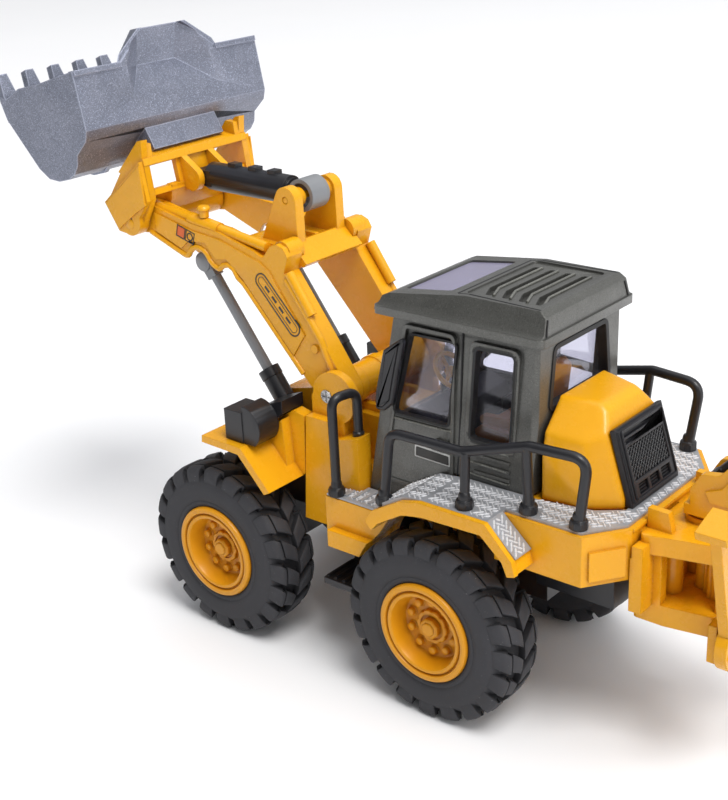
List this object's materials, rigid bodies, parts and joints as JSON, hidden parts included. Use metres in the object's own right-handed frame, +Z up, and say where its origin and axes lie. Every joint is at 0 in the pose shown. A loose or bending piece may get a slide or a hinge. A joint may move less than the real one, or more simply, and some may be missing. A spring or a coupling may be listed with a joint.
{
  "type": "toy front loader",
  "caption": "Toy wheel loader with a raised, tilting front bucket, glazed cab, rolling rubber-tyred wheels and a folded digging arm on a swing post at the rear.",
  "frame": {"origin": "on the ground below the middle of the whole length, on the centre plane", "axes": "+X forward to the front bucket, +Y to the loader's left, +Z up"},
  "size_m": [0.2156, 0.0618, 0.1352],
  "materials": {
    "yellow_plastic": "glossy injection-moulded orange-yellow plastic",
    "cab_grey": "metallic dark grey paint with fine flake",
    "black_plastic": "satin black plastic",
    "grey_plastic": "satin grey plastic",
    "tread_silver": "vacuum-plated silver plastic with a diamond tread",
    "bucket_grey": "blue-grey paint with metallic flake on a cast bucket",
    "tyre_rubber": "soft dark rubber",
    "steel": "plain steel pins and screws",
    "clear_window": "clear moulded plastic glazing",
    "skylight_tint": "tinted clear plastic",
    "lamp_clear": "clear ribbed lens plastic",
    "seat_orange": "orange moulded plastic"
  },
  "bodies": {
    "chassis": {"chassis_base": "black_plastic", "front_frame": "yellow_plastic", "rear_body": "yellow_plastic", "tread_deck": "tread_silver", "front_fender_left": "yellow_plastic", "front_fender_right": "yellow_plastic", "step_plates": "tread_silver", "lower_steps": "black_plastic", "headlight_left": "black_plastic", "headlight_right": "black_plastic", "headlight_lenses": "lamp_clear", "cab_shell": "cab_grey", "cab_roof": "cab_grey", "skylight": "skylight_tint", "windscreen": "clear_window", "rear_window": "clear_window", "side_windows": "clear_window", "cab_mirrors": "black_plastic", "cab_console": "black_plastic", "steering_wheel": "yellow_plastic", "driver_seat": "seat_orange", "engine_hood": "yellow_plastic", "radiator_grille": "black_plastic", "front_handrails": "black_plastic", "rear_handrails": "black_plastic", "base_screws": "steel", "arm_pivot_screws": "steel", "hoe_frame": "yellow_plastic"},
    "loader_arm": {"arm_left": "yellow_plastic", "arm_right": "yellow_plastic", "arm_crossmember": "yellow_plastic", "torque_tube": "yellow_plastic", "rod_eye_pins": "steel", "coupler_pin": "steel", "tilt_rear_pin": "yellow_plastic"},
    "bucket_unit": {"bucket_coupler": "yellow_plastic", "bucket": "bucket_grey", "tilt_front_pin": "steel"},
    "tilt_barrel": {"tilt_barrel": "black_plastic"},
    "tilt_rod": {"tilt_rod": "grey_plastic"},
    "lift_rod_left": {"lift_rod_left": "grey_plastic"},
    "lift_rod_right": {"lift_rod_right": "grey_plastic"},
    "lift_barrel_left": {"lift_barrel_left": "black_plastic"},
    "lift_barrel_right": {"lift_barrel_right": "black_plastic"},
    "front_wheels": {"front_axle": "steel", "front_rims": "yellow_plastic", "front_tyres": "tyre_rubber"},
    "rear_wheels": {"rear_axle": "steel", "rear_rims": "yellow_plastic", "rear_tyres": "tyre_rubber"},
    "hoe_swing_post": {"hoe_swing_post": "yellow_plastic"},
    "hoe_boom": {"hoe_boom": "yellow_plastic"},
    "hoe_boom_barrel": {"hoe_boom_barrel": "black_plastic"},
    "hoe_boom_rod": {"hoe_boom_rod": "grey_plastic"},
    "hoe_dipper": {"hoe_dipper": "yellow_plastic"},
    "hoe_bucket": {"hoe_bucket": "bucket_grey"},
    "stabiliser_left": {"stabiliser_left": "yellow_plastic"},
    "stabiliser_right": {"stabiliser_right": "yellow_plastic"}
  },
  "joints": [
    {"name": "lift", "type": "hinge", "parent": "chassis", "child": "loader_arm", "pos_m": [0.01909, 0, 0.0613], "axis": [0, -1, 0], "range_deg": [-60, 3]},
    {"name": "tilt", "type": "hinge", "parent": "loader_arm", "child": "bucket_unit", "pos_m": [0.07699, 0, 0.0928], "axis": [0, -1, 0], "range_deg": [-62, 0]},
    {"name": "lift_rod_left_pivot", "type": "hinge", "parent": "loader_arm", "child": "lift_rod_left", "pos_m": [0.05819, 0.01205, 0.0846], "axis": [0, -1, 0], "range_deg": [-20, 4]},
    {"name": "lift_barrel_left_slide", "type": "slide", "parent": "lift_rod_left", "child": "lift_barrel_left", "axis": [-0.5957, 0, -0.8032], "range_m": [-0.0175, 0.0015]},
    {"name": "lift_rod_right_pivot", "type": "hinge", "parent": "loader_arm", "child": "lift_rod_right", "pos_m": [0.05819, -0.01205, 0.0846], "axis": [0, -1, 0], "range_deg": [-20, 4]},
    {"name": "lift_barrel_right_slide", "type": "slide", "parent": "lift_rod_right", "child": "lift_barrel_right", "axis": [-0.5957, 0, -0.8032], "range_m": [-0.0175, 0.0015]},
    {"name": "tilt_barrel_pivot", "type": "hinge", "parent": "bucket_unit", "child": "tilt_barrel", "pos_m": [0.06879, 0, 0.101], "axis": [0, -1, 0], "range_deg": [-2, 70]},
    {"name": "tilt_rod_slide", "type": "slide", "parent": "tilt_barrel", "child": "tilt_rod", "axis": [-0.9999, 0, -0.0123], "range_m": [-0.001, 0.0135]},
    {"name": "front_wheel_spin", "type": "hinge", "parent": "chassis", "child": "front_wheels", "pos_m": [0.04459, 0, 0.021], "axis": [0, 1, 0], "continuous": true},
    {"name": "rear_wheel_spin", "type": "hinge", "parent": "chassis", "child": "rear_wheels", "pos_m": [-0.01621, 0, 0.021], "axis": [0, 1, 0], "continuous": true},
    {"name": "hoe_swing", "type": "hinge", "parent": "chassis", "child": "hoe_swing_post", "pos_m": [-0.06351, 0, 0.051], "axis": [0, 0, 1], "range_deg": [-50, 50]},
    {"name": "hoe_boom_lift", "type": "hinge", "parent": "hoe_swing_post", "child": "hoe_boom", "pos_m": [-0.07281, 0, 0.0605], "axis": [0, -1, 0], "range_deg": [-20, 4]},
    {"name": "hoe_boom_barrel_pivot", "type": "hinge", "parent": "hoe_swing_post", "child": "hoe_boom_barrel", "pos_m": [-0.06501, 0, 0.0576], "axis": [0, -1, 0], "range_deg": [-16, 6]},
    {"name": "hoe_boom_rod_slide", "type": "slide", "parent": "hoe_boom_barrel", "child": "hoe_boom_rod", "axis": [-0.6638, 0, 0.7479], "range_m": [-0.002, 0.003]},
    {"name": "hoe_dipper_swing", "type": "hinge", "parent": "hoe_boom", "child": "hoe_dipper", "pos_m": [-0.09471, 0, 0.0865], "axis": [0, -1, 0], "range_deg": [-35, 3]},
    {"name": "hoe_bucket_curl", "type": "hinge", "parent": "hoe_dipper", "child": "hoe_bucket", "pos_m": [-0.10451, 0, 0.0498], "axis": [0, -1, 0], "range_deg": [-55, 20]},
    {"name": "stabiliser_left_swing", "type": "hinge", "parent": "chassis", "child": "stabiliser_left", "pos_m": [-0.07481, 0.011, 0.0305], "axis": [-1, 0, 0], "range_deg": [0, 125]},
    {"name": "stabiliser_right_swing", "type": "hinge", "parent": "chassis", "child": "stabiliser_right", "pos_m": [-0.07481, -0.011, 0.0305], "axis": [1, 0, 0], "range_deg": [0, 125]}
  ],
  "couplings": [
    {"joint": "lift_rod_left_pivot", "follows": "lift", "ratio": 0.22631},
    {"joint": "lift_barrel_left_slide", "follows": "lift", "m_per_rad": 0.014832},
    {"joint": "lift_rod_right_pivot", "follows": "lift", "ratio": 0.22631},
    {"joint": "lift_barrel_right_slide", "follows": "lift", "m_per_rad": 0.014832},
    {"joint": "tilt_barrel_pivot", "follows": "tilt", "ratio": -1.0575},
    {"joint": "tilt_rod_slide", "follows": "tilt", "m_per_rad": -0.010822},
    {"joint": "hoe_boom_barrel_pivot", "follows": "hoe_boom_lift", "ratio": 0.66616},
    {"joint": "hoe_boom_rod_slide", "follows": "hoe_boom_lift", "m_per_rad": 0.004559}
  ]
}
